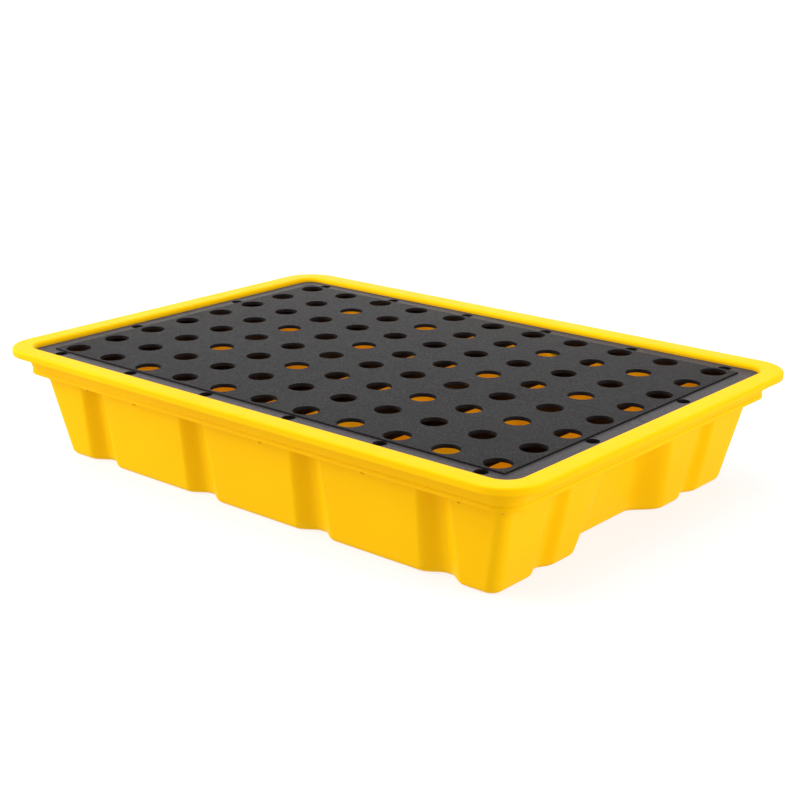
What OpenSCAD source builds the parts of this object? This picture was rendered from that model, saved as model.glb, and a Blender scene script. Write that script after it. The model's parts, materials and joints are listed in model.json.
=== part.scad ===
// Spill containment pallet: a drip tray of yellow plastic with a black
// perforated deck in two lift-out panels. Millimetres, +Z up, origin at the
// middle of the tray's base.

/* [Tray] */
// Overall length of the tray over its lip
tray_len = 1000; // [600:10:1600]
// Overall width of the tray over its lip
tray_wid = 700; // [400:10:1300]
// Overall height, base to lip top
tray_h = 175; // [120:1:300]
// Thickness of the tray's plastic
wall_t = 5; // [3:0.5:8]
// Outer corner radius of the lip
lip_corner_r = 60; // [50:1:90]
// Width of the lip, outer edge to the deck's opening
lip_w = 34; // [30:1:44]
// Height of the lip's turned-down outer edge
lip_drop = 11; // [8:1:20]
// Radius on the lip's outer top edge
lip_edge_r = 3; // [1:0.5:4]
// Radius on the lip's inner top edge
lip_inner_r = 6; // [2:0.5:7]
// Thickness of the shoulder band under the lip
band_t = 8; // [6:0.5:10]
// How much further out the band's top is than its foot
band_taper = 5; // [0:0.5:8]
// Depth of the shoulder band's foot below the lip top
band_depth = 42.5; // [30:0.5:60]
// How far the wall's top is set in from the deck's opening
ledge_w = 14; // [8:1:20]
// Extra inset of the long walls at the base
side_draft = 19; // [5:1:30]
// Extra inset of the end walls at the base
end_draft = 31; // [5:1:45]
// Corner radius of the walls
wall_corner_r = 18; // [12:1:40]
// Radius of the outer edge round the base
base_edge_r = 9; // [4:1:14]
// Radius between the floor and the walls inside
floor_fillet_r = 10; // [4:1:20]

/* [Wall flutes] */
// Depth of the vertical flutes in the long walls
flute_depth = 16; // [6:1:22]
// Width of a flute at its mouth, at the base
flute_w = 74; // [50:1:84]
// How much narrower each side of a flute is at the band
flute_taper = 8; // [0:1:12]
// Width of a flute's flat back
flute_flat = 6; // [4:1:16]
// Flutes in one long wall
flutes = 4; // [2:1:6]
// Width of the plain bay between a long wall's last flute and the corner
corner_bay = 49.5; // [40:0.5:90]
// Depth of the narrow flutes in the end walls
end_flute_depth = 10; // [5:1:18]
// Width of a narrow end flute at its mouth, at the base
end_flute_w = 58; // [40:1:64]
// How much narrower each side of an end flute is at the band
end_flute_taper = 6; // [0:1:10]
// Width of a narrow end flute's flat back
end_flute_flat = 4; // [3:1:12]
// Width of the plain bay between an end wall's flute and the corner
end_corner_bay = 73; // [60:1:110]
// Width of the bay between an end wall's flute and its recess
foot_w = 34; // [26:1:70]
// Depth of the wide recess in each end wall
recess_depth = 32; // [10:1:45]
// Width of the recess's sloping side, where the recess has its full width
recess_flank = 50; // [20:1:60]
// How much narrower each side of a full recess is at the band
recess_taper = 33; // [0:1:40]
// Half width of a full recess's flat back at the band
recess_back = 35; // [20:1:60]
// Width of one gusset under the shoulder band
gusset_w = 5; // [4:1:10]
// Height of one gusset
gusset_h = 13; // [10:1:24]
// How far a gusset stands out from the wall
gusset_out = 8; // [3:0.5:10]
// Distance of an end wall's gusset from the edge of the narrow flute
end_gusset_gap = 4; // [0:1:30]

/* [Deck] */
// Gap between the deck and the lip, all round
deck_gap = 2; // [1:0.5:4]
// Gap between the two panels
panel_gap = 1; // [0.6:0.2:3]
// Gap under the panels where they rest
rest_gap = 0.5; // [0.3:0.1:1]
// Depth of the deck's border below the lip top
deck_drop = 7; // [5:0.5:10]
// Thickness of the perforated field
plate_t = 5.5; // [4:0.5:9]
// How far the field stands above the border
field_rise = 2; // [0.5:0.5:3]
// Width of the plain border round the field
border_w = 28; // [22:1:36]
// Thickness of the skirt and the seam rib
skirt_t = 4; // [2.5:0.5:6]
// Thickness of the ribs
rib_t = 3; // [2:0.5:5]
// Depth of the cross ribs below the field's top
cross_rib_depth = 24; // [14:1:30]

/* [Deck holes] */
// Radius of the large drain holes
hole_r = 19; // [12:0.5:23]
// Distance from the deck's end to the first hole's centre
margin_x = 56; // [50:1:70]
// Distance from the deck's long edge to the first hole's centre
margin_y = 51.5; // [48:0.5:60]
// Radius of the small lifting holes in the border
small_r = 10; // [6:0.5:10]
// Distance from the deck's edge to the small holes' centres
small_in = 17.5; // [15:0.5:19]

/* [Floor pillars] */
// Radius of a pillar's top, under the seam
pillar_top_r = 34; // [20:1:45]
// Radius of a pillar at the floor
pillar_base_r = 52; // [40:1:65]

/* [Hidden] */
$fn = 96;
e = 0.01;
half_l = tray_len / 2;
half_w = tray_wid / 2;
band_z = tray_h - band_depth;
ledge_z = band_z + wall_t;
flange_z = tray_h - wall_t;
band_inset = lip_w - band_t;
wall_inset = lip_w + ledge_w;
// the walls' half sizes at the band and at the base
top_a = half_l - wall_inset;
top_b = half_w - wall_inset;
base_a = top_a - end_draft;
base_b = top_b - side_draft;
flute_pitch = 2 * (base_a - corner_bay - flute_w / 2) / (flutes - 1);
end_flute_y = base_b - end_corner_bay - end_flute_w / 2;
recess_half = end_flute_y - end_flute_w / 2 - foot_w;
// on a wider or narrower tray the recess's parts keep their proportions
recess_scale = recess_half / (recess_back + recess_flank + recess_taper);
last_flute = (flutes - 1) / 2;
pillars = [for (n = [1 - last_flute - 0.5:1:last_flute - 0.5]) n * flute_pitch];
// the deck: 11 holes along it and 4 across each panel
cols = 11;
rows = 4;
deck_a = half_l - lip_w - deck_gap;
deck_b = half_w - lip_w - deck_gap;
deck_corner_r = lip_corner_r - lip_w - deck_gap;
border_z = tray_h - deck_drop;
field_z = border_z + field_rise;
under_z = field_z - plate_t;
skirt_z = ledge_z + rest_gap;
pitch_x = 2 * (deck_a - margin_x) / (cols - 1);
pitch_y = 2 * (deck_b - margin_y) / (2 * rows - 1);
cross_ribs = [-4.5, -2.5, -0.5, 0.5, 2.5, 4.5];
// the outer edges of a long wall's last flutes and the middles of its bays, and how far
// along from each of them a gusset stands
flute_end = last_flute * flute_pitch + flute_w / 2;
gusset_marks = concat([-flute_end], pillars, [flute_end]);
gusset_shift = [24, -14, 27, -7, 4];

// quarter disc in the first quadrant
module quarter(r) {
  intersection() {
    circle(r = r);
    square(r);
  }
}

// section of the lip and the shoulder band: x runs inwards from the lip's edge
module lip_section() {
  translate([lip_edge_r, tray_h - lip_edge_r])
    mirror([1, 0]) quarter(lip_edge_r);
  translate([lip_w - lip_inner_r, tray_h - lip_inner_r])
    quarter(lip_inner_r);
  polygon([
    [0, tray_h - lip_edge_r],
    [0, tray_h - lip_drop + 1],
    [1, tray_h - lip_drop],
    [wall_t, tray_h - lip_drop],
    [wall_t, flange_z],
    [band_inset - band_taper, flange_z],
    [band_inset + 3, band_z + 7],
    [band_inset + 2.4, band_z + 6],
    [band_inset + 2.4, band_z + 1],
    [band_inset + 3.4, band_z],
    [lip_w + 2, band_z],
    [lip_w + 1, ledge_z],
    [lip_w, tray_h - lip_inner_r],
    [lip_w - lip_inner_r, tray_h - lip_inner_r],
    [lip_w - lip_inner_r, tray_h],
    [lip_edge_r, tray_h],
    [lip_edge_r, tray_h - lip_edge_r]
  ]);
}

// one straight run of the lip, its middle on -Y at the given distance
module lip_run(half, dist) {
  translate([-half, -dist, 0])
    rotate([90, 0, 90]) linear_extrude(height = 2 * half) lip_section();
}

module lip_corner() {
  rotate([0, 0, -90])
    rotate_extrude(angle = 90)
      translate([lip_corner_r, 0]) mirror([1, 0]) lip_section();
}

module lip_ring() {
  for (turn = [0, 180]) rotate([0, 0, turn]) {
    lip_run(half_l - lip_corner_r, half_w);
    rotate([0, 0, 90]) lip_run(half_w - lip_corner_r, half_l);
    translate([half_l - lip_corner_r, lip_corner_r - half_w, 0]) lip_corner();
    translate([half_l - lip_corner_r, half_w - lip_corner_r, 0])
      rotate([0, 0, 90]) lip_corner();
  }
}

// offsets across a flute: seven steps down one flank, seven up the other
function flute_steps(half, flat) = concat(
  [for (k = [0:6]) -half + (half - flat) * k / 6],
  [for (k = [0:6]) flat + (half - flat) * k / 6]
);
// how deep a flute is at an offset, 0 at the mouth to 1 at the back
function flank(t, half, flat) =
  (1 - cos(180 * min(1, (half - abs(t)) / (half - flat)))) / 2;
// a flute's points as [place along the wall, depth]
function flute(place, half, flat, depth) =
  [for (t = flute_steps(half, flat)) [place + t, depth * flank(t, half, flat)]];
function arc(cx, cy, r, from) =
  [for (k = [0:6]) [cx + r * cos(from + 15 * k), cy + r * sin(from + 15 * k)]];

// long wall on -Y, end wall on +X, each with the corner after it; up is 0 at the base
// and 1 at the band
function half_ring(a, b, r, up) = let (
  side = flute_w / 2 - flute_taper * up,
  end = end_flute_w / 2 - end_flute_taper * up,
  mid = recess_half - recess_scale * recess_taper * up
) concat(
  [for (n = [-last_flute:1:last_flute],
        p = flute(n * flute_pitch, side, flute_flat / 2, flute_depth)) [p[0], -b + p[1]]],
  arc(a - r, r - b, r, -90),
  [for (p = flute(-end_flute_y, end, end_flute_flat / 2, end_flute_depth)) [a - p[1], p[0]]],
  [for (p = flute(0, mid, mid - recess_scale * recess_flank, recess_depth)) [a - p[1], p[0]]],
  [for (p = flute(end_flute_y, end, end_flute_flat / 2, end_flute_depth)) [a - p[1], p[0]]],
  arc(a - r, b - r, r, 0)
);
function ring(a, b, r, up) = let (h = half_ring(a, b, r, up)) concat(h, -1 * h);

// wall outline at height z, set in by d from the outer face
function wall_ring(z, d) = let (s = 1 - z / band_z)
  ring(top_a - end_draft * s - d, top_b - side_draft * s - d,
       max(wall_corner_r - d, 2), z / band_z);

// section of the wall as [height, inset] from the base outwards and back
wall_section = [
  [0, base_edge_r],
  [0.134 * base_edge_r, 0.5 * base_edge_r],
  [0.5 * base_edge_r, 0.134 * base_edge_r],
  [base_edge_r, 0],
  [ledge_z, 0],
  [ledge_z, wall_t],
  [wall_t + floor_fillet_r, wall_t],
  [wall_t + 0.5 * floor_fillet_r, wall_t + 0.134 * floor_fillet_r],
  [wall_t + 0.134 * floor_fillet_r, wall_t + 0.5 * floor_fillet_r],
  [wall_t, wall_t + floor_fillet_r],
  [0, wall_t + floor_fillet_r]
];

// closed tube of fluted, drafted wall with rounded edges at its foot
module wall_tube() {
  rings = [for (s = wall_section) [for (p = wall_ring(s[0], s[1])) [p[0], p[1], s[0]]]];
  m = len(rings);
  n = len(rings[0]);
  pts = [for (rg = rings) each rg];
  tris = [for (k = [0:m - 1], i = [0:n - 1])
    let (k1 = (k + 1) % m, i1 = (i + 1) % n)
    each [
      [k * n + i, k1 * n + i, k1 * n + i1],
      [k * n + i, k1 * n + i1, k * n + i1]
    ]];
  polyhedron(points = pts, faces = tris, convexity = 6);
}

// rectangle with rounded corners
module round_rect(a, b, r) {
  square([2 * (a - r), 2 * b], center = true);
  square([2 * a, 2 * (b - r)], center = true);
  for (x = [r - a, a - r], y = [r - b, b - r]) translate([x, y]) circle(r = r);
}

// ledge the deck rests on, open over the sump
module ledge() {
  out = lip_w + 1.5;
  translate([0, 0, band_z]) linear_extrude(height = wall_t) difference() {
    round_rect(half_l - out, half_w - out, lip_corner_r - out);
    polygon(wall_ring(ledge_z, wall_t - 1));
  }
}

module floor_plate() {
  linear_extrude(height = wall_t) difference() {
    polygon(wall_ring(0, wall_t + floor_fillet_r - 2));
    for (x = pillars) translate([x, 0]) circle(r = pillar_base_r - wall_t + 1);
  }
}

// hollow pillar moulded up from the floor, its top level with the ledge
module pillar() {
  rotate_extrude() polygon([
    [0, band_z],
    [pillar_top_r - wall_t, band_z],
    [pillar_base_r - wall_t, 0],
    [pillar_base_r + 4, 0],
    [pillar_base_r + 4, wall_t],
    [pillar_base_r, wall_t + 4],
    [pillar_top_r, ledge_z - 4],
    [pillar_top_r - 1.2, ledge_z - 1.2],
    [pillar_top_r - 4, ledge_z],
    [0, ledge_z]
  ]);
}

// small gusset under the band on a wall whose face is set in by face at the top
// and by shift more at the gusset's foot
module gusset(face, shift) {
  translate([-gusset_w / 2, 0, 0]) rotate([90, 0, 90])
    linear_extrude(height = gusset_w) polygon([
      [face - gusset_out, band_z + 1],
      [face - gusset_out, band_z - 1],
      [face + shift - 1, band_z - gusset_h],
      [face + shift + 3, band_z - gusset_h],
      [face + 3, band_z + 1]
    ]);
}

// gussets stand along the long walls, at the ends of the end walls and on the corners
module gussets() {
  slope_side = side_draft * gusset_h / band_z;
  slope_end = end_draft * gusset_h / band_z;
  slope_corner = (slope_side + slope_end) * 0.707;
  diagonal = (wall_inset + wall_corner_r - lip_corner_r) * 1.414 + lip_corner_r - wall_corner_r;
  for (turn = [0, 180]) rotate([0, 0, turn]) {
    for (k = [0:len(gusset_marks) - 1])
      translate([gusset_marks[k] + gusset_shift[k % len(gusset_shift)], -half_w, 0])
        gusset(wall_inset, slope_side);
    for (s = [-1, 1]) {
      rotate([0, 0, 90])
        translate([s * (end_flute_y + end_flute_w / 2 + end_gusset_gap), -half_l, 0])
          gusset(wall_inset, slope_end);
      translate([s * (half_l - lip_corner_r), lip_corner_r - half_w, 0])
        rotate([0, 0, s * 45]) translate([0, -lip_corner_r, 0]) gusset(diagonal, slope_corner);
    }
  }
}

module tub() {
  color([0.98, 0.80, 0.02]) {
    lip_ring();
    ledge();
    wall_tube();
    floor_plate();
    for (x = pillars) translate([x, 0, 0]) pillar();
    gussets();
  }
}

// outline of one panel, set in by d on its three outer edges
module panel_outline(d) {
  r = deck_corner_r - d;
  translate([-(deck_a - d - r), d - deck_b])
    square([2 * (deck_a - d - r), deck_b - d - panel_gap / 2]);
  translate([d - deck_a, d + r - deck_b])
    square([2 * (deck_a - d), deck_b - d - r - panel_gap / 2]);
  for (x = [-1, 1]) translate([x * (deck_a - d - r), d + r - deck_b]) circle(r = r);
}

// slab of rib, its middle at x, y
module rib(x, y, lx, ly, z) {
  translate([x - lx / 2, y - ly / 2, z]) cube([lx, ly, under_z + 1 - z]);
}

function hole_x(i) = (i - (cols - 1) / 2) * pitch_x;
function hole_y(j) = (j - rows + 0.5) * pitch_y;

module panel_body() {
  // plate with its raised field
  translate([0, 0, under_z]) linear_extrude(height = border_z - under_z) panel_outline(0);
  translate([border_w - deck_a, border_w - deck_b, under_z])
    cube([2 * (deck_a - border_w), deck_b - border_w - panel_gap / 2, plate_t]);
  // skirt round the three outer edges
  translate([0, 0, skirt_z]) linear_extrude(height = under_z + 1 - skirt_z) difference() {
    panel_outline(0);
    translate([0, e]) panel_outline(skirt_t);
  }
  rib(0, -(panel_gap + skirt_t) / 2, 2 * deck_a - skirt_t, skirt_t, skirt_z);
  rib(0, hole_y(1.5), 2 * deck_a - skirt_t, rib_t, skirt_z);
  for (c = cross_ribs)
    rib(c * pitch_x, -(deck_b + panel_gap / 2) / 2, rib_t, deck_b - skirt_t, field_z - cross_rib_depth);
}

// panel on the -Y side of the seam
module panel() {
  difference() {
    panel_body();
    for (i = [0:cols - 1], j = [0:rows - 1])
      translate([hole_x(i), hole_y(j), under_z - 1]) cylinder(r = hole_r, h = plate_t + 2);
    for (i = [0:2:cols - 1])
      translate([hole_x(i), small_in - deck_b, under_z - 1]) cylinder(r = small_r, h = 12);
    for (s = [-1, 1])
      translate([s * (deck_a - small_in), hole_y(2), under_z - 1]) cylinder(r = small_r, h = 12);
  }
}

module deck_panel_near() {
  color([0.13, 0.13, 0.14]) panel();
}

module deck_panel_far() {
  color([0.13, 0.13, 0.14]) rotate([0, 0, 180]) panel();
}

tub();
deck_panel_near();
deck_panel_far();
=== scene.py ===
"""Spill containment pallet: a yellow drip tray with a black perforated deck in two panels.
The shapes are worked out in millimetres in the frame's axes and made in metres."""
import json
import math

import bmesh
import bpy
from mathutils import Matrix, Vector


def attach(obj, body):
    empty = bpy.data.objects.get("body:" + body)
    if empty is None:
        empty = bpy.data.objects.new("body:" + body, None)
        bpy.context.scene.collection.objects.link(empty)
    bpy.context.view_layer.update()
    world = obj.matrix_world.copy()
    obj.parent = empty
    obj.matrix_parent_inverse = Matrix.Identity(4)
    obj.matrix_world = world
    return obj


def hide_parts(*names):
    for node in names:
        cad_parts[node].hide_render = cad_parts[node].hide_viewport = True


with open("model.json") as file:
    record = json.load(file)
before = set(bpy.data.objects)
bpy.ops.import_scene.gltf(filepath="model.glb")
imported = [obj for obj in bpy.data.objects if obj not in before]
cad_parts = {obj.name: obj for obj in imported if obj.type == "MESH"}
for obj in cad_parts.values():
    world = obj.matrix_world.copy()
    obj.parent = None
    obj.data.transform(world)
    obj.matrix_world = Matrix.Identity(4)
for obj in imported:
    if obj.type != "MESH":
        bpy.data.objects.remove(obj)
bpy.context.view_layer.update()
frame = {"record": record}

MM = 0.001

# ---------------------------------------------------------------- sizes of the tray, mm
HALF_L, HALF_W, TRAY_H = 500.0, 350.0, 175.0
WALL_T = 5.0
LIP_R, LIP_W, LIP_EDGE_R, LIP_INNER_R = 60.0, 34.0, 3.0, 6.0
BAND_Z, LEDGE_Z, FLANGE_Z, LIP_FOOT_Z = 132.5, 137.5, 170.0, 164.0
WALL_INSET, WALL_R, LEAST_R = 48.0, 18.0, 2.0
SIDE_DRAFT, END_DRAFT = 19.0, 31.0
BASE_EDGE_R, FLOOR_FILLET_R = 9.0, 10.0
TOP_A, TOP_B = HALF_L - WALL_INSET, HALF_W - WALL_INSET
# flutes: half width at the base, how much less at the band, half width of the flat, depth
FLUTE_PITCH, FLUTE_HALF, FLUTE_TAPER, FLUTE_FLAT, FLUTE_DEPTH = 223.0, 37.0, 8.0, 3.0, 16.0
END_FLUTE_Y, END_HALF, END_TAPER, END_FLAT, END_DEPTH = 181.0, 29.0, 6.0, 2.0, 10.0
RECESS_HALF, RECESS_TAPER, RECESS_FLANK, RECESS_DEPTH = 118.0, 33.0, 50.0, 32.0
PILLARS = (-223.0, 0.0, 223.0)
GUSSETS = (-347.5, -237.0, 27.0, 216.0, 375.5)
END_GUSSET = 214.0
GUSSET_W, GUSSET_H, GUSSET_OUT, GUSSET_EDGE_R = 5.0, 13.0, 8.0, 0.8
# how far a gusset reaches into the band above it and the wall behind it, and how blunt its
# two outer corners are
GUSSET_INTO_BAND, GUSSET_INTO_WALL, GUSSET_NOSE = 1.0, 3.0, 1.0

# ---------------------------------------------------------------- sizes of the deck, mm
DECK_A, DECK_B, DECK_R = 464.0, 314.0, 24.0
SEAM_HALF = 0.5
BORDER_Z, FIELD_Z, UNDER_Z, SKIRT_Z = 168.0, 170.0, 164.5, 138.0
BORDER_W, SKIRT_T, RIB_T, RIB_EDGE_R, CROSS_RIB_Z = 28.0, 4.0, 3.0, 0.4, 146.0
COLS, ROWS, PITCH_X, PITCH_Y = 11, 4, 81.6, 75.0
HOLE_R, HOLE_RIM_R = 19.0, 0.6
SMALL_R, SMALL_RIM_R, SMALL_IN = 9.6, 0.3, 17.5
COLLAR_T, COLLAR_DEPTH, COLLAR_EDGE = 1.8, 12.0, 0.3
# small holes lie over every second column along the edge, and one at each end in this row
SMALL_EVERY, SMALL_ROW = 2, 2
# places of the ribs across a panel and of the one along it, in holes' pitches
CROSS_RIBS = (-4.5, -2.5, -0.5, 0.5, 2.5, 4.5)
LONG_RIB = 1.5


# ---------------------------------------------------------------- mesh helpers
SHARP_ANGLE = 40.0
BEVEL_STEPS = 2
# how strongly large faces lead the shading of the corners they share
LARGE_FACES_LEAD = 100


def add_ring(bm, points):
    """New vertices at (x, y, z) points given in millimetres."""
    return [bm.verts.new((x * MM, y * MM, z * MM)) for x, y, z in points]


def loft(bm, rings, slot=0):
    """Quads between each ring and the next; every ring is closed and has the same length."""
    for low, high in zip(rings, rings[1:]):
        n = len(low)
        for i in range(n):
            j = (i + 1) % n
            bm.faces.new((low[i], low[j], high[j], high[i])).material_index = slot


def strip(bm, first, second, slot=0):
    """Quads between two open rows of vertices."""
    for i in range(len(first) - 1):
        bm.faces.new((first[i], first[i + 1], second[i + 1], second[i])).material_index = slot


def cap(bm, ring, centre, slot=0):
    """Closes a ring with a fan round a centre point."""
    mid = add_ring(bm, [centre])[0]
    for i in range(len(ring)):
        bm.faces.new((ring[i], ring[(i + 1) % len(ring)], mid)).material_index = slot


def fill(bm, loops, slot=0):
    """Flat face with holes: closed loops of vertices that lie in one plane."""
    edges = []
    for loop in loops:
        for i in range(len(loop)):
            pair = (loop[i], loop[(i + 1) % len(loop)])
            edges.append(bm.edges.get(pair) or bm.edges.new(pair))
    made = bmesh.ops.triangle_fill(
        bm, use_beauty=True, use_dissolve=False, edges=edges, normal=(0, 0, 1)
    )
    for g in made["geom"]:
        if isinstance(g, bmesh.types.BMFace):
            g.material_index = slot


def circle(x, y, r, z, steps):
    """Points of a level circle."""
    return [
        (x + r * math.cos(math.tau * k / steps), y + r * math.sin(math.tau * k / steps), z)
        for k in range(steps)
    ]


def bevelled_box(bm, lo, hi, r, slot=0):
    """Closed box between two corners with its edges rounded to r."""
    own = bmesh.new()
    bmesh.ops.create_cube(own, size=1.0)
    for v in own.verts:
        v.co = Vector([MM * (lo[k] + (v.co[k] + 0.5) * (hi[k] - lo[k])) for k in range(3)])
    bmesh.ops.bevel(own, geom=own.edges[:], offset=r * MM, segments=BEVEL_STEPS, affect="EDGES")
    append(bm, own, slot)


def append(bm, own, slot=0):
    """Copies one bmesh into another and frees it."""
    bmesh.ops.recalc_face_normals(own, faces=own.faces[:])
    copied = {v: bm.verts.new(v.co) for v in own.verts}
    for f in own.faces:
        bm.faces.new([copied[v] for v in f.verts]).material_index = slot
    own.free()


def finish_piece(bm, name, materials):
    """Turns a bmesh into a smooth-shaded piece whose flat faces stay flat."""
    bmesh.ops.recalc_face_normals(bm, faces=bm.faces[:])
    mesh = bpy.data.meshes.new(name)
    bm.to_mesh(mesh)
    bm.free()
    for m in materials:
        mesh.materials.append(m)
    mesh.shade_smooth()
    mesh.set_sharp_from_angle(angle=math.radians(SHARP_ANGLE))
    piece = bpy.data.objects.new(name, mesh)
    bpy.context.scene.collection.objects.link(piece)
    weigh = piece.modifiers.new("flat_faces", "WEIGHTED_NORMAL")
    weigh.mode = "FACE_AREA"
    weigh.weight = LARGE_FACES_LEAD
    weigh.keep_sharp = True
    return piece


# ---------------------------------------------------------------- tray
FLANK_STEPS = 12
CORNER_STEPS = 14
PLAIN_POINTS = 3
BASE_STEPS, LIP_EDGE_STEPS, LIP_INNER_STEPS, FILLET_STEPS = 6, 6, 8, 6
FLUTE_PLACES = (-1.5, -0.5, 0.5, 1.5)
# heights of the plain rings of the wall, outside and inside
OUTER_LEVELS = (30.0, 60.0, 95.0, BAND_Z - 3.0, BAND_Z)
INNER_LEVELS = (95.0, 60.0, 35.0)
# (inwards from the lip's outer edge, z): band and shoulder, then the lip's underside and drip
BAND_RINGS = (
    (30.6, BAND_Z), (29.2, 132.8), (28.5, 133.7), (28.4, 135.0), (28.4, 137.6),
    (28.7, 138.8), (29.3, 139.6), (29.2, 140.6), (21.4, 168.0), (20.2, FLANGE_Z),
    (6.6, FLANGE_Z), (5.4, 169.6), (WALL_T, 168.6), (WALL_T, 164.8), (4.3, LIP_FOOT_Z),
    (1.4, LIP_FOOT_Z), (0.4, 164.4), (0.0, 165.4), (0.0, 168.5),
)
# one plain ring this far in on the lip's top
LIP_FLAT = 15.0
# (inwards from the lip's outer edge, z), down the inside of the lip to the ledge
LIP_INSIDE = ((34.6, 150.0), (35.0, 139.0), (35.6, 137.8), (37.0, LEDGE_Z))
# (z, inwards from the wall's outer face), over the edge of the ledge
LEDGE_RINGS = ((LEDGE_Z, 3.4), (137.1, 4.5), (136.0, WALL_T))


def across(centre, half, flat, depth):
    """Points across a flute as (place along the wall, depth), with soft shoulders."""
    down = []
    for k in range(FLANK_STEPS + 1):
        u = k / FLANK_STEPS
        down.append((half - (half - flat) * u, depth * (1 - math.cos(math.pi * u)) / 2))
    left = [(centre - t, d) for t, d in down]
    right = [(centre + t, d) for t, d in reversed(down)]
    return left + [(centre, depth)] + right


def spaced(runs):
    """Joins the flutes' points with a few plain points between one flute and the next."""
    marks = list(runs[0])
    for run in runs[1:]:
        t0, t1 = marks[-1][0], run[0][0]
        step = PLAIN_POINTS + 1
        marks += [(t0 + (t1 - t0) * k / step, 0.0) for k in range(1, step)]
        marks += run
    return marks


def wall_marks(up):
    """Points along a long wall and an end wall; up is 0 at the base and 1 at the band."""
    half = FLUTE_HALF - FLUTE_TAPER * up
    side = [across(n * FLUTE_PITCH, half, FLUTE_FLAT, FLUTE_DEPTH) for n in FLUTE_PLACES]
    small, wide = END_HALF - END_TAPER * up, RECESS_HALF - RECESS_TAPER * up
    end = [
        across(-END_FLUTE_Y, small, END_FLAT, END_DEPTH),
        across(0.0, wide, wide - RECESS_FLANK, RECESS_DEPTH),
        across(END_FLUTE_Y, small, END_FLAT, END_DEPTH),
    ]
    return spaced(side), spaced(end)


def led(marks, end):
    """A wall's points with two more before the first and after the last."""
    first, last = marks[0][0], marks[-1][0]
    before = [(-end + (first + end) * k / 3, 0.0) for k in (1, 2)]
    after = [(last + (end - last) * k / 3, 0.0) for k in (1, 2)]
    return before + marks + after


def outline(a, b, r, deep, up=1.0):
    """Outline of the tray at half sizes a and b: deep is 1 with the flutes and 0 without."""
    side, end = wall_marks(up)
    half = [(x, -b + deep * d) for x, d in led(side, a - r)]
    for k in range(CORNER_STEPS + 1):
        t = math.pi / 2 * (k / CORNER_STEPS - 1)
        half.append((a - r + r * math.cos(t), r - b + r * math.sin(t)))
    half += [(a - deep * d, y) for y, d in led(end, b - r)]
    for k in range(CORNER_STEPS + 1):
        t = math.pi / 2 * k / CORNER_STEPS
        half.append((a - r + r * math.cos(t), b - r + r * math.sin(t)))
    return half + [(-x, -y) for x, y in half]


def wall(z, inset):
    """Wall outline at a height, set in from the wall's outer face."""
    s = 1 - z / BAND_Z
    pts = outline(
        TOP_A - END_DRAFT * s - inset,
        TOP_B - SIDE_DRAFT * s - inset,
        max(WALL_R - inset, LEAST_R),
        deep=1.0,
        up=z / BAND_Z,
    )
    return [(x, y, z) for x, y in pts]


def lip(inset, z):
    """Plain outline of the lip and the band, set in from the lip's outer edge."""
    pts = outline(HALF_L - inset, HALF_W - inset, LIP_R - inset, deep=0.0)
    return [(x, y, z) for x, y in pts]


def quarter(steps):
    """(1 - cos, 1 - sin) at even angles from 0 to a right angle."""
    angles = [math.radians(90 * k / steps) for k in range(steps + 1)]
    return [(1 - math.cos(t), 1 - math.sin(t)) for t in angles]


def tray_section():
    """Rings of the tray from under its foot, up outside, over the lip and down inside."""
    rings = [wall(BASE_EDGE_R * c, BASE_EDGE_R * s) for c, s in quarter(BASE_STEPS)]
    rings += [wall(z, 0.0) for z in OUTER_LEVELS]
    rings += [lip(inset, z) for inset, z in BAND_RINGS]
    rings += [lip(LIP_EDGE_R * c, TRAY_H - LIP_EDGE_R * s) for c, s in quarter(LIP_EDGE_STEPS)]
    rings.append(lip(LIP_FLAT, TRAY_H))
    for c, s in quarter(LIP_INNER_STEPS):
        rings.append(lip(LIP_W - LIP_INNER_R * s, TRAY_H - LIP_INNER_R * c))
    rings += [lip(inset, z) for inset, z in LIP_INSIDE]
    rings += [wall(z, inset) for z, inset in LEDGE_RINGS]
    rings += [wall(z, WALL_T) for z in INNER_LEVELS]
    for c, s in quarter(FILLET_STEPS):
        rings.append(wall(WALL_T + FLOOR_FILLET_R * s, WALL_T + FLOOR_FILLET_R * c))
    return rings


# material slots: the tray's outside, and all that faces the sump
OUTSIDE, INSIDE = 0, 1
# rings of the section from just under the ledge down to the floor
INNER_RINGS = 1 + len(INNER_LEVELS) + FILLET_STEPS + 1
PILLAR_STEPS = 64
# (radius, z) up a pillar, on the side that faces the sump and on its hollow underside
PILLAR_TOP_SIDE = (
    (57.0, 5.0), (54.6, 5.5), (52.9, 6.9), (51.9, 9.3), (48.0, 37.0), (43.0, 71.5), (38.0, 106.0),
    (34.2, 132.4), (33.7, 134.9), (32.3, 136.8), (30.0, 137.5),
)
PILLAR_UNDERSIDE = (
    (49.6, 0.0), (48.0, 0.5), (47.0, 2.0), (43.0, 30.0), (38.0, 66.5), (33.0, 103.0),
    (29.6, 128.0), (28.6, 131.0), (26.0, BAND_Z),
)


def gusset(bm, turn, face, shift):
    """Small rib under the band; turn puts it on its wall, face and shift follow the wall."""
    own = bmesh.new()
    rows = []
    for x in (-GUSSET_W / 2, GUSSET_W / 2):
        rows.append([
            own.verts.new(turn @ Vector((x, y, z)) * MM)
            for y, z in (
                (face - GUSSET_OUT, BAND_Z + GUSSET_INTO_BAND),
                (face - GUSSET_OUT, BAND_Z - GUSSET_NOSE),
                (face + shift - GUSSET_NOSE, BAND_Z - GUSSET_H),
                (face + shift + GUSSET_INTO_WALL, BAND_Z - GUSSET_H),
                (face + GUSSET_INTO_WALL, BAND_Z + GUSSET_INTO_BAND),
            )
        ])
    loft(own, rows)
    own.faces.new(rows[0])
    own.faces.new(rows[1])
    bmesh.ops.bevel(
        own, geom=own.edges[:], offset=GUSSET_EDGE_R * MM, segments=BEVEL_STEPS, affect="EDGES"
    )
    append(bm, own)


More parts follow.
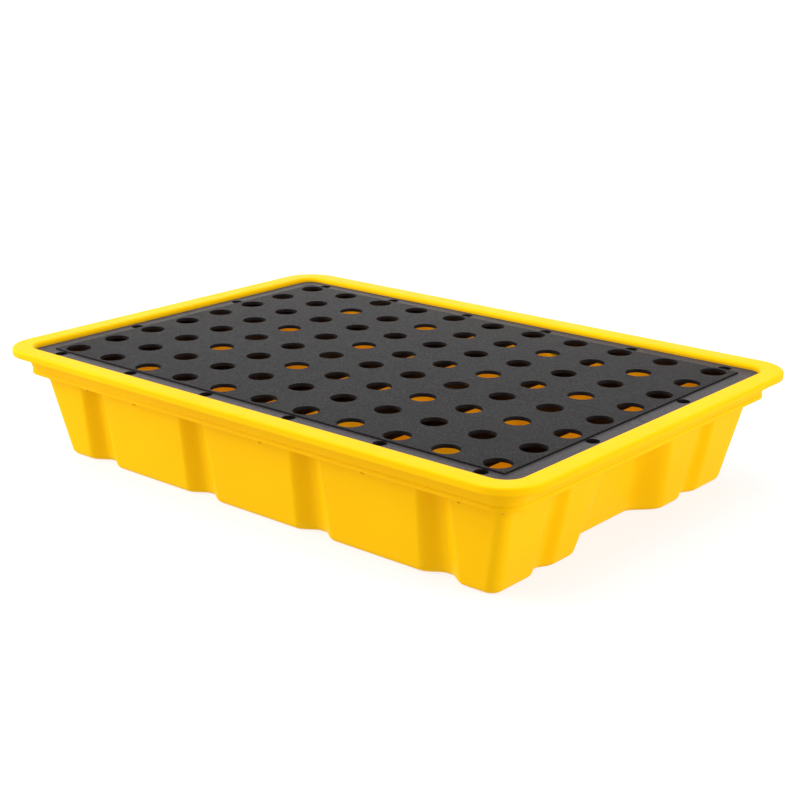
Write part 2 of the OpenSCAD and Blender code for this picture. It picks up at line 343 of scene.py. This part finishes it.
def gusset_places():
    """(matrix, face inset, inset per gusset height) of every gusset."""
    slope_side = SIDE_DRAFT * GUSSET_H / BAND_Z
    slope_end = END_DRAFT * GUSSET_H / BAND_Z
    corner = (WALL_INSET + WALL_R - LIP_R) * math.sqrt(2) + LIP_R - WALL_R
    for half_turn in (0, 180):
        about = Matrix.Rotation(math.radians(half_turn), 4, "Z")
        for x in GUSSETS:
            yield about @ Matrix.Translation((x, -HALF_W, 0)), WALL_INSET, slope_side
        for s in (-1, 1):
            end = Matrix.Rotation(math.radians(90), 4, "Z")
            place = Matrix.Translation((s * END_GUSSET, -HALF_L, 0))
            yield about @ end @ place, WALL_INSET, slope_end
            place = Matrix.Translation((s * (HALF_L - LIP_R), LIP_R - HALF_W, 0))
            turn = Matrix.Rotation(math.radians(s * 45), 4, "Z")
            out = Matrix.Translation((0, -LIP_R, 0))
            yield about @ place @ turn @ out, corner, (slope_side + slope_end) / math.sqrt(2)


def build_tray(materials):
    """The tray: its section lofted all round, the pillars, the floor's two sides, the gussets."""
    bm = bmesh.new()
    rings = [add_ring(bm, pts) for pts in tray_section()]
    loft(bm, rings[:-INNER_RINGS + 1], OUTSIDE)
    loft(bm, rings[-INNER_RINGS:], INSIDE)
    under, above = [rings[0]], [rings[-1]]
    for x in PILLARS:
        top = [add_ring(bm, circle(x, 0, r, z, PILLAR_STEPS)) for r, z in PILLAR_TOP_SIDE]
        hollow = [add_ring(bm, circle(x, 0, r, z, PILLAR_STEPS)) for r, z in PILLAR_UNDERSIDE]
        loft(bm, top, INSIDE)
        loft(bm, hollow)
        cap(bm, top[-1], (x, 0, LEDGE_Z), INSIDE)
        cap(bm, hollow[-1], (x, 0, BAND_Z))
        above.append(top[0])
        under.append(hollow[0])
    fill(bm, under)
    fill(bm, above, INSIDE)
    for place, face, shift in gusset_places():
        gusset(bm, place, face, shift)
    return finish_piece(bm, "tray_shell", materials)


# ---------------------------------------------------------------- deck panels
HOLE_STEPS = 48
SMALL_STEPS = 28
DECK_CORNER_STEPS = 12
BORDER, FIELD = 0, 1
# the step from the border up to the field, with a fine groove at its foot, as
# (outwards from the field's edge, z)
STEP = (
    (0.8, BORDER_Z), (0.7, 167.9), (0.65, 167.5), (0.0, 167.4), (0.0, 169.6), (-0.1, 169.9),
    (-0.4, FIELD_Z),
)
# the panel's edge: (inwards, below the top)
EDGE = ((0.45, 0.0), (0.13, 0.13), (0.0, 0.45), (0.0, 1.2))
# the skirt, down its outside and up its inside: (inwards, z)
SKIRT = (
    (0.0, 160.0), (0.0, 138.7), (0.2, 138.2), (0.7, SKIRT_Z),
    (3.3, SKIRT_Z), (3.8, 138.2), (SKIRT_T, 138.7), (SKIRT_T, 160.0), (SKIRT_T, UNDER_Z),
)
# a hole's rounded rim: (outwards, down), in shares of its radius
RIM = ((1.0, 0.0), (0.45, 0.13), (0.12, 0.45), (0.0, 1.0))
# a hole's lower edge: how far it widens and how high that starts
FOOT_OUT, FOOT_UP = 0.3, 0.5
# how far a rib reaches into the plate
RIB_INTO_PLATE = 1.0


def outer_path(inset, z):
    """Three outer edges of the near panel, from the seam on +X round to the seam on -X."""
    a, b, r = DECK_A - inset, DECK_B - inset, DECK_R - inset
    y0 = -SEAM_HALF - inset
    pts = [(a, y0, z), (a, (y0 + r - b) / 2, z)]
    for k in range(DECK_CORNER_STEPS + 1):
        t = -math.pi / 2 * k / DECK_CORNER_STEPS
        pts.append((a - r + r * math.cos(t), r - b + r * math.sin(t), z))
    pts.append((0.0, -b, z))
    for k in range(DECK_CORNER_STEPS + 1):
        t = -math.pi / 2 * (1 + k / DECK_CORNER_STEPS)
        pts.append((r - a + r * math.cos(t), r - b + r * math.sin(t), z))
    pts += [(-a, (y0 + r - b) / 2, z), (-a, y0, z)]
    return pts


def seam_path(inset, drop, flat_z=None):
    """The seam's edge from -X to +X, stepping up to the field in its middle."""
    y0 = -SEAM_HALF - inset
    fa = DECK_A - BORDER_W
    left = [(-fa - out, y0, flat_z if flat_z is not None else z - drop) for out, z in STEP]
    return left + [(-x, y, z) for x, y, z in reversed(left)]


def step_path(bm, seam):
    """Rows of the step between border and field; their ends are the seam's own vertices."""
    rows = []
    n = len(STEP)
    for k, (out, z) in enumerate(STEP):
        fa, fb = DECK_A - BORDER_W + out, DECK_B - BORDER_W + out
        middle = add_ring(bm, [(fa, -fb, z), (0.0, -fb, z), (-fa, -fb, z)])
        rows.append([seam[2 * n - 1 - k]] + middle + [seam[k]])
    for upper, lower in zip(rows, rows[1:]):
        strip(bm, upper, lower, FIELD)
    return rows


def drill(bm, x, y, r, top, round_r, steps, slot, collar=0.0):
    """Walls of a round hole with its upper rim rounded, and with a collar of that depth
    under the plate if it has one; returns the top and bottom loops."""
    section = [(r + round_r * out, top - round_r * down) for out, down in RIM]
    section += [(r, UNDER_Z + FOOT_UP)]
    if collar:
        foot, outer, edge = UNDER_Z - collar, r + COLLAR_T, COLLAR_EDGE
        section += [(r, foot + edge), (r + edge, foot)]
        section += [(outer - edge, foot), (outer, foot + edge), (outer, UNDER_Z)]
    else:
        section += [(r + FOOT_OUT, UNDER_Z)]
    rings = [add_ring(bm, circle(x, y, rr, z, steps)) for rr, z in section]
    loft(bm, rings, slot)
    return rings[0], rings[-1]


def hole_x(i):
    return (i - (COLS - 1) / 2) * PITCH_X


def hole_y(j):
    return (j - ROWS + 0.5) * PITCH_Y


def build_panel(name, materials, far):
    """One deck panel; it is made as the near one, and the far one is that turned half round."""
    bm = bmesh.new()
    shell = []
    n = len(STEP)
    for inset, drop in EDGE:
        outer = add_ring(bm, outer_path(inset, BORDER_Z - drop))
        seam = add_ring(bm, seam_path(inset, drop))
        shell.append((outer, seam))
    for inset, z in SKIRT:
        outer = add_ring(bm, outer_path(inset, z))
        seam = add_ring(bm, seam_path(inset, 0.0, z))
        shell.append((outer, seam))
    loft(bm, [outer + seam for outer, seam in shell], BORDER)
    top_outer, top_seam = shell[0]
    under = [shell[-1][0] + shell[-1][1]]
    rows = step_path(bm, top_seam)
    border_loops = [top_outer + [top_seam[0]] + rows[0][1:-1][::-1] + [top_seam[2 * n - 1]]]
    field_loops = [rows[-1][1:-1] + [top_seam[n - 1], top_seam[n]]]
    for i in range(COLS):
        for j in range(ROWS):
            upper, lower = drill(
                bm, hole_x(i), hole_y(j), HOLE_R, FIELD_Z, HOLE_RIM_R, HOLE_STEPS, FIELD
            )
            field_loops.append(upper)
            under.append(lower)
    small = [(hole_x(i), SMALL_IN - DECK_B) for i in range(0, COLS, SMALL_EVERY)]
    small += [(s * (DECK_A - SMALL_IN), hole_y(SMALL_ROW)) for s in (-1, 1)]
    for x, y in small:
        upper, lower = drill(
            bm, x, y, SMALL_R, BORDER_Z, SMALL_RIM_R, SMALL_STEPS, FIELD, COLLAR_DEPTH
        )
        border_loops.append(upper)
        under.append(lower)
    fill(bm, border_loops, BORDER)
    fill(bm, field_loops, FIELD)
    fill(bm, under, FIELD)
    half_rib, half_skirt, rib_top = RIB_T / 2, 0.5 * SKIRT_T, UNDER_Z + RIB_INTO_PLATE
    y = hole_y(LONG_RIB)
    bevelled_box(
        bm,
        (-(DECK_A - half_skirt), y - half_rib, SKIRT_Z),
        (DECK_A - half_skirt, y + half_rib, rib_top),
        RIB_EDGE_R,
        FIELD,
    )
    for c in CROSS_RIBS:
        x = c * PITCH_X
        bevelled_box(
            bm,
            (x - half_rib, half_skirt - DECK_B, CROSS_RIB_Z),
            (x + half_rib, -SEAM_HALF - half_skirt, rib_top),
            RIB_EDGE_R,
            FIELD,
        )
    if far:
        bmesh.ops.rotate(bm, verts=bm.verts[:], matrix=Matrix.Rotation(math.pi, 3, "Z"))
    return finish_piece(bm, name, materials)


# ---------------------------------------------------------------- materials
class Shader:
    """Node material built in object space, which is the frame's own metres."""

    def __init__(self, name):
        self.mat = bpy.data.materials.new(name)
        self.mat.use_nodes = True
        self.tree = self.mat.node_tree
        self.tree.nodes.clear()
        self.out = self.tree.nodes.new("ShaderNodeOutputMaterial")
        self.bsdf = self.tree.nodes.new("ShaderNodeBsdfPrincipled")
        self.link(self.bsdf.outputs["BSDF"], self.out.inputs["Surface"])
        self.coord = self.tree.nodes.new("ShaderNodeTexCoord").outputs["Object"]

    def link(self, a, b):
        self.tree.links.new(a, b)

    def mapped(self, scale):
        node = self.tree.nodes.new("ShaderNodeMapping")
        node.inputs["Scale"].default_value = scale
        self.link(self.coord, node.inputs["Vector"])
        return node.outputs["Vector"]

    def noise(self, scale, detail, rough=0.5, vector=None, distortion=0.0):
        node = self.tree.nodes.new("ShaderNodeTexNoise")
        node.inputs["Scale"].default_value = scale
        node.inputs["Detail"].default_value = detail
        node.inputs["Roughness"].default_value = rough
        node.inputs["Distortion"].default_value = distortion
        self.link(vector or self.coord, node.inputs["Vector"])
        return node.outputs["Fac"]

    def ramp(self, fac, stops):
        """Steps of colour: stops are (place, colour)."""
        node = self.tree.nodes.new("ShaderNodeValToRGB")
        ramp = node.color_ramp
        while len(ramp.elements) < len(stops):
            ramp.elements.new(0.5)
        for e, (place, colour) in zip(ramp.elements, stops):
            e.position = place
            e.color = (*colour, 1.0)
        self.link(fac, node.inputs["Fac"])
        return node.outputs["Color"]

    def mix(self, fac, a, b):
        node = self.tree.nodes.new("ShaderNodeMix")
        node.data_type = "RGBA"
        ins = [s for s in node.inputs if s.type == "RGBA"]
        out = [s for s in node.outputs if s.type == "RGBA"][0]
        factor = [s for s in node.inputs if s.type == "VALUE"][0]
        for socket, value in ((factor, fac), (ins[0], a), (ins[1], b)):
            if isinstance(value, (int, float)):
                socket.default_value = value
            elif isinstance(value, tuple):
                socket.default_value = (*value, 1.0)
            else:
                self.link(value, socket)
        return out

    def span(self, fac, low, high, from_low=0.3, from_high=0.7):
        node = self.tree.nodes.new("ShaderNodeMapRange")
        node.inputs["From Min"].default_value = from_low
        node.inputs["From Max"].default_value = from_high
        node.inputs["To Min"].default_value = low
        node.inputs["To Max"].default_value = high
        self.link(fac, node.inputs["Value"])
        return node.outputs["Result"]

    def math(self, op, a, b):
        node = self.tree.nodes.new("ShaderNodeMath")
        node.operation = op
        for socket, value in zip(node.inputs, (a, b)):
            if isinstance(value, (int, float)):
                socket.default_value = value
            else:
                self.link(value, socket)
        return node.outputs["Value"]

    def bump(self, height, strength, distance, normal=None):
        node = self.tree.nodes.new("ShaderNodeBump")
        node.inputs["Strength"].default_value = strength
        node.inputs["Distance"].default_value = distance
        self.link(height, node.inputs["Height"])
        if normal is not None:
            self.link(normal, node.inputs["Normal"])
        return node.outputs["Normal"]

    def height(self):
        """Height above the floor, in metres."""
        node = self.tree.nodes.new("ShaderNodeSeparateXYZ")
        self.link(self.coord, node.inputs["Vector"])
        return node.outputs["Z"]


# colours are linear RGB; noise scales are per metre
PLASTIC_IOR = 1.5
PATCHES, FLOW, SCUFFS, SHEEN, GRAIN, WAVES = 5.0, 26.0, 70.0, 38.0, 420.0, 9.0
DUST, MOTTLE, WARP = 6.0, 28.0, 16.0
TONE_STOPS = (0.30, 0.52, 0.72)
FLOW_DRAWN_OUT, SCUFFS_LAID_FLAT = (1.0, 1.0, 0.25), (1.0, 1.0, 3.0)
# heights between which the rubbed foot fades out, in metres
FOOT_LOW, FOOT_HIGH = 0.002, 0.030
SCUFF_TONE, SCUFF_ROUGHER = (0.80, 0.50, 0.03), 0.25
YELLOW_GLOSS = 0.025
DUST_TONE, SPECK_BRIGHTER = (0.060, 0.056, 0.056), 2.6


def yellow_plastic(name, tones, deep):
    """Moulded polyethylene: slow changes of tone, drawn-out flow marks, a scuffed foot."""
    s = Shader(name)
    colour = s.ramp(s.noise(PATCHES, 3.0, 0.55), list(zip(TONE_STOPS, tones)))
    flow = s.noise(FLOW, 4.0, 0.6, s.mapped(FLOW_DRAWN_OUT))
    colour = s.mix(s.span(flow, 0.0, 0.10, 0.45, 0.75), colour, deep)
    # rubbed foot: paler scuffs that thin out a few centimetres up
    scuffs = s.noise(SCUFFS, 6.0, 0.7, s.mapped(SCUFFS_LAID_FLAT))
    foot = s.span(s.height(), 1.0, 0.0, FOOT_LOW, FOOT_HIGH)
    marks = s.math("MULTIPLY", s.span(scuffs, 0.0, 0.5, 0.52, 0.70), foot)
    colour = s.mix(marks, colour, SCUFF_TONE)
    s.link(colour, s.bsdf.inputs["Base Color"])
    rough = s.span(s.noise(SHEEN, 4.0, 0.6), 0.40, 0.52)
    scuffed = s.math("ADD", rough, s.math("MULTIPLY", marks, SCUFF_ROUGHER))
    s.link(scuffed, s.bsdf.inputs["Roughness"])
    skin = s.bump(s.noise(GRAIN, 3.0, 0.55), strength=0.25, distance=0.00022)
    waves = s.bump(s.noise(WAVES, 2.0), strength=0.35, distance=0.0012, normal=skin)
    s.link(waves, s.bsdf.inputs["Normal"])
    s.bsdf.inputs["IOR"].default_value = PLASTIC_IOR
    s.bsdf.inputs["Specular IOR Level"].default_value = YELLOW_GLOSS
    return s


def deck_plastic(name, dark, light, rough_low, rough_high, grain, gloss):
    """Black polypropylene: mottled, speckled by its grain, with a thin film of dust."""
    s = Shader(name)
    fine = s.noise(GRAIN, 4.0, 0.7)
    colour = s.ramp(s.noise(MOTTLE, 5.0, 0.62), [(0.30, dark), (0.70, light)])
    speck = s.span(fine, 0.0, 0.7, 0.48, 0.70)
    colour = s.mix(speck, colour, tuple(c * SPECK_BRIGHTER for c in light))
    dust = s.span(s.noise(DUST, 6.0, 0.7, distortion=0.4), 0.0, 0.06, 0.50, 0.75)
    colour = s.mix(dust, colour, DUST_TONE)
    s.link(colour, s.bsdf.inputs["Base Color"])
    s.link(s.span(fine, rough_high, rough_low), s.bsdf.inputs["Roughness"])
    grit = s.bump(fine, strength=grain, distance=0.0005)
    warp = s.bump(s.noise(WARP, 3.0), strength=0.12, distance=0.0010, normal=grit)
    s.link(warp, s.bsdf.inputs["Normal"])
    s.bsdf.inputs["IOR"].default_value = PLASTIC_IOR
    s.bsdf.inputs["Specular IOR Level"].default_value = gloss
    return s


yellow = yellow_plastic(
    "tub_yellow_polyethylene",
    tones=((0.785, 0.425, 0.0006), (0.80, 0.44, 0.0008), (0.81, 0.455, 0.001)),
    deep=(0.74, 0.37, 0.0006),
)
# the sump side: its tones are more orange than the outside's, painted light that stands in for
# daylight coming through the walls and bouncing round the sump
sump_yellow_painted_glow = yellow_plastic(
    "tub_inside_yellow_painted_glow",
    tones=((0.79, 0.38, 0.0008), (0.81, 0.40, 0.001), (0.83, 0.42, 0.0012)),
    deep=(0.75, 0.33, 0.0008),
)
# a weak glow that stands in for the daylight that comes through the walls
sump_yellow_painted_glow.bsdf.inputs["Emission Color"].default_value = (1.0, 0.38, 0.005, 1.0)
sump_yellow_painted_glow.bsdf.inputs["Emission Strength"].default_value = 0.20
border_black = deck_plastic(
    "deck_border_polypropylene",
    dark=(0.020, 0.017, 0.019),
    light=(0.027, 0.023, 0.0255),
    rough_low=0.46,
    rough_high=0.58,
    grain=0.35,
    gloss=0.20,
)
field_black = deck_plastic(
    "deck_field_polypropylene",
    dark=(0.0042, 0.0036, 0.0039),
    light=(0.0064, 0.0055, 0.0059),
    rough_low=0.50,
    rough_high=0.72,
    grain=1.0,
    gloss=0.12,
)

# ---------------------------------------------------------------- pieces
tray = build_tray([yellow.mat, sump_yellow_painted_glow.mat])
deck_materials = [border_black.mat, field_black.mat]
near = build_panel("deck_near_moulding", deck_materials, far=False)
far = build_panel("deck_far_moulding", deck_materials, far=True)
bodies = frame["record"]["behaviour"]["bodies"]
for piece, node, slot in (
    (tray, "tub", "tub_plastic"),
    (near, "deck_panel_near", "deck_plastic"),
    (far, "deck_panel_far", "deck_plastic"),
):
    body = next(b for b, members in bodies.items() if node in members)
    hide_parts(node)
    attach(piece, body)


# ---------------------------------------------------------------- floor, light, camera
STUDIO_R, STUDIO_STEPS, STUDIO_DROP = 80.0, 96, 0.0005
STUDIO_GREYS, STUDIO_GLOW = (0.20, 0.22), 0.76
WORLD_LIGHT = 0.60
LENS, SENSOR, NEAREST, FARTHEST = 69.567, 36.0, 0.05, 200.0
WHITE = (1.0, 1.0, 1.0, 1.0)


def make_floor():
    """Wide pale floor just under the tray, so the two don't share a plane."""
    bm = bmesh.new()
    bmesh.ops.create_circle(bm, cap_ends=True, radius=STUDIO_R, segments=STUDIO_STEPS)
    mesh = bpy.data.meshes.new("studio_floor")
    bm.to_mesh(mesh)
    bm.free()
    s = Shader("studio_floor_pale")
    low, high = STUDIO_GREYS
    colour = s.ramp(s.noise(1.5, 2.0), [(0.3, (low,) * 3), (0.7, (high,) * 3)])
    s.link(colour, s.bsdf.inputs["Base Color"])
    # a lit sweep: it glows evenly, so the floor and the backdrop meet without a line
    s.bsdf.inputs["Emission Color"].default_value = WHITE
    s.bsdf.inputs["Emission Strength"].default_value = STUDIO_GLOW
    s.bsdf.inputs["Roughness"].default_value = 0.9
    s.bsdf.inputs["Specular IOR Level"].default_value = 0.1
    mesh.materials.append(s.mat)
    floor = bpy.data.objects.new("studio_floor", mesh)
    bpy.context.scene.collection.objects.link(floor)
    floor.location.z = -STUDIO_DROP


def add_lamp(name, light, direction):
    """Puts a light into the scene, shining along a direction."""
    lamp = bpy.data.objects.new(name, light)
    lamp.rotation_euler = Vector(direction).to_track_quat("-Z", "Y").to_euler()
    bpy.context.scene.collection.objects.link(lamp)
    return lamp


def area_light(name, place, target, size, power):
    """Softbox that lights the tray but doesn't show in the picture."""
    light = bpy.data.lights.new(name, "AREA")
    light.shape = "RECTANGLE"
    light.size, light.size_y = size
    light.energy = power
    lamp = add_lamp(name, light, Vector(target) - Vector(place))
    lamp.location = place
    lamp.visible_camera = False


def broad_sun(name, place, power, spread):
    """Soft light that falls evenly on the whole floor, from a place towards the middle."""
    light = bpy.data.lights.new(name, "SUN")
    light.energy = power
    light.angle = math.radians(spread)
    add_lamp(name, light, -Vector(place))


make_floor()
broad_sun("top_light", place=(-0.30, -0.22, 1.0), power=2.8, spread=70.0)
for name, place, target, size, power in (
    ("left_softbox", (-1.9, -1.6, 0.9), (-0.3, -0.3, 0.1), (1.2, 1.2), 40.0),
    ("right_softbox", (2.7, 0.5, 1.1), (0.4, 0.0, 0.1), (1.6, 1.6), 48.0),
    ("rear_softbox", (-1.7, 2.0, 0.75), (0.0, 0.2, 0.17), (2.6, 0.5), 12.0),
):
    area_light(name, place, target, size, power)

world = bpy.data.worlds.new("studio")
world.use_nodes = True
background = world.node_tree.nodes["Background"]
background.inputs["Color"].default_value = WHITE
background.inputs["Strength"].default_value = WORLD_LIGHT
bpy.context.scene.world = world
bpy.context.scene.view_settings.view_transform = "Standard"

camera_data = bpy.data.cameras.new("camera")
camera_data.lens = LENS
camera_data.sensor_width = SENSOR
camera_data.clip_start, camera_data.clip_end = NEAREST, FARTHEST
camera = bpy.data.objects.new("camera", camera_data)
bpy.context.scene.collection.objects.link(camera)
camera.matrix_world = Matrix((
    (0.759633, -0.194233, 0.620670, 1.47994),
    (0.650352, 0.226600, -0.725048, -1.70006),
    (0.000184, 0.954424, 0.298453, 0.81060),
    (0.0, 0.0, 0.0, 1.0),
))
bpy.context.scene.camera = camera
